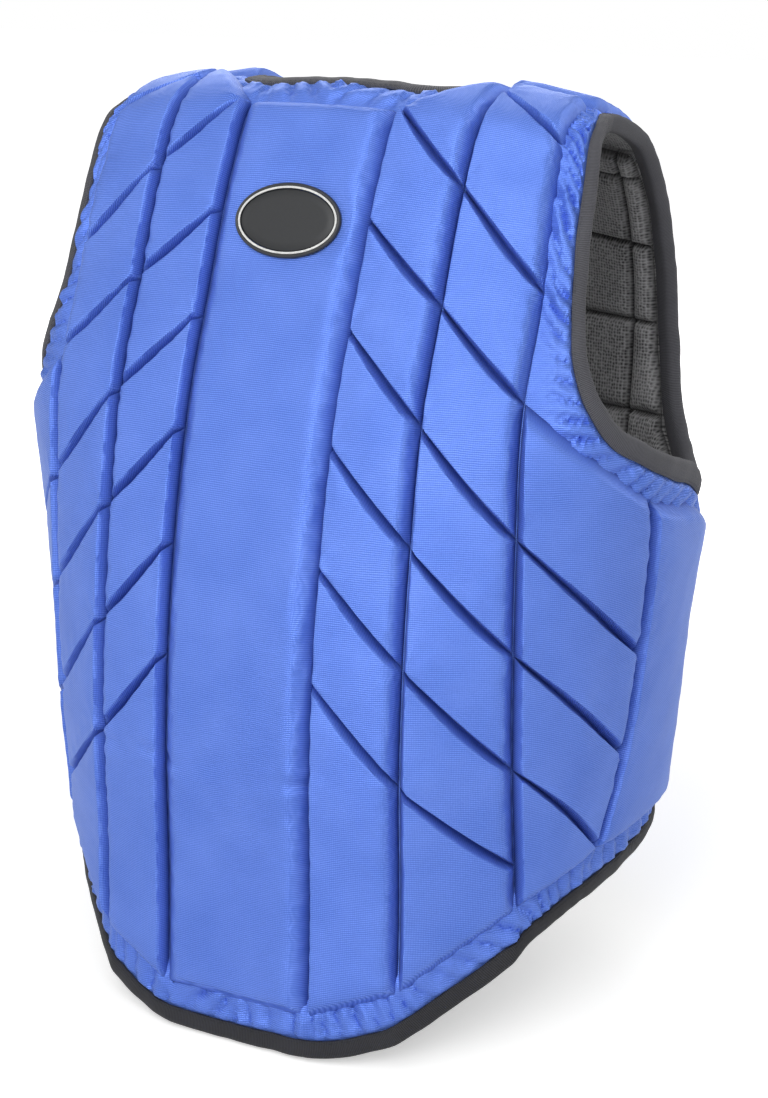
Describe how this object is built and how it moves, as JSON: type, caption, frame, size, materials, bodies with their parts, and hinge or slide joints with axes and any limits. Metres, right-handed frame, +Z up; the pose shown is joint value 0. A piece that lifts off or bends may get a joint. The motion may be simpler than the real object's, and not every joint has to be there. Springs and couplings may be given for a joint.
{
  "type": "riding body protector",
  "caption": "Sleeveless quilted foam vest with a long tail, taped edges, a mesh lining, a front zip and shoulder closures.",
  "frame": {"origin": "on the midline in the middle of the wearer's trunk, 36 mm below the underside of the armholes", "axes": "+Z up, -Y the way the wearer faces, +X the wearer's left"},
  "size_m": [0.3948, 0.3082, 0.5236],
  "materials": {
    "pad_fabric": "satin blue woven nylon over foam",
    "cover_fabric": "satin blue woven nylon, gathered",
    "lining_mesh": "dark grey spacer mesh",
    "edge_tape": "dark grey ribbed tape",
    "hem_tape": "near-black ribbed tape",
    "hook_and_loop": "black hook and loop tape",
    "zip_tape": "black woven zip tape",
    "zip_plastic": "black moulded acetal",
    "zip_metal": "black lacquered die-cast",
    "badge_plastic": "dark grey soft moulded badge, bare"
  },
  "bodies": {
    "back": {"back_cover": "cover_fabric", "back_lining": "lining_mesh", "back_inner_padding": "lining_mesh", "spine_pad": "pad_fabric", "back_inner_pads_left": "pad_fabric", "back_inner_pads_right": "pad_fabric", "back_middle_pads_left": "pad_fabric", "back_middle_pads_right": "pad_fabric", "back_outer_pads_left": "pad_fabric", "back_outer_pads_right": "pad_fabric", "side_pad_left": "pad_fabric", "side_pad_right": "pad_fabric", "back_hem_binding": "hem_tape", "back_neck_binding": "edge_tape", "back_armhole_binding_left": "edge_tape", "back_armhole_binding_right": "edge_tape", "badge_plate": "badge_plastic", "badge_rim": "badge_plastic", "shoulder_loop_patch_left": "hook_and_loop", "shoulder_loop_patch_right": "hook_and_loop"},
    "front_left": {"front_cover_left": "cover_fabric", "front_lining_left": "lining_mesh", "front_inner_padding_left": "lining_mesh", "front_inner_pads_left": "pad_fabric", "front_middle_pads_left": "pad_fabric", "front_outer_pads_left": "pad_fabric", "front_neck_binding_left": "edge_tape", "front_hem_binding_left": "hem_tape", "front_armhole_binding_left": "edge_tape", "shoulder_tongue_left": "hook_and_loop", "zip_tape_left": "zip_tape", "zip_teeth_left": "zip_plastic", "zip_top_stop_left": "zip_plastic", "zip_pin": "zip_plastic"},
    "front_right": {"front_cover_right": "cover_fabric", "front_lining_right": "lining_mesh", "front_inner_padding_right": "lining_mesh", "front_inner_pads_right": "pad_fabric", "front_middle_pads_right": "pad_fabric", "front_outer_pads_right": "pad_fabric", "front_neck_binding_right": "edge_tape", "front_hem_binding_right": "hem_tape", "front_armhole_binding_right": "edge_tape", "shoulder_tongue_right": "hook_and_loop", "zip_tape_right": "zip_tape", "zip_teeth_right": "zip_plastic", "zip_top_stop_right": "zip_plastic", "zip_box": "zip_plastic"},
    "slider": {"zip_slider": "zip_metal"},
    "pull_tab": {"zip_pull_tab": "zip_metal"}
  },
  "joints": [
    {"name": "front_left_swing", "type": "hinge", "parent": "back", "child": "front_left", "pos_m": [0.1796, -0.0512, 0], "axis": [0.0967, 0, 0.9953], "range_deg": [0, 85]},
    {"name": "front_right_swing", "type": "hinge", "parent": "back", "child": "front_right", "pos_m": [-0.1796, -0.0512, 0], "axis": [0.0967, 0, -0.9953], "range_deg": [0, 85]},
    {"name": "zip_slide", "type": "slide", "parent": "front_left", "child": "slider", "axis": [0, -0.03, -0.9996], "range_m": [0, 0.294]},
    {"name": "pull_tab_tilt", "type": "hinge", "parent": "slider", "child": "pull_tab", "pos_m": [0, -0.12153, 0.1235], "axis": [-1, 0, 0], "range_deg": [0, 150]}
  ]
}
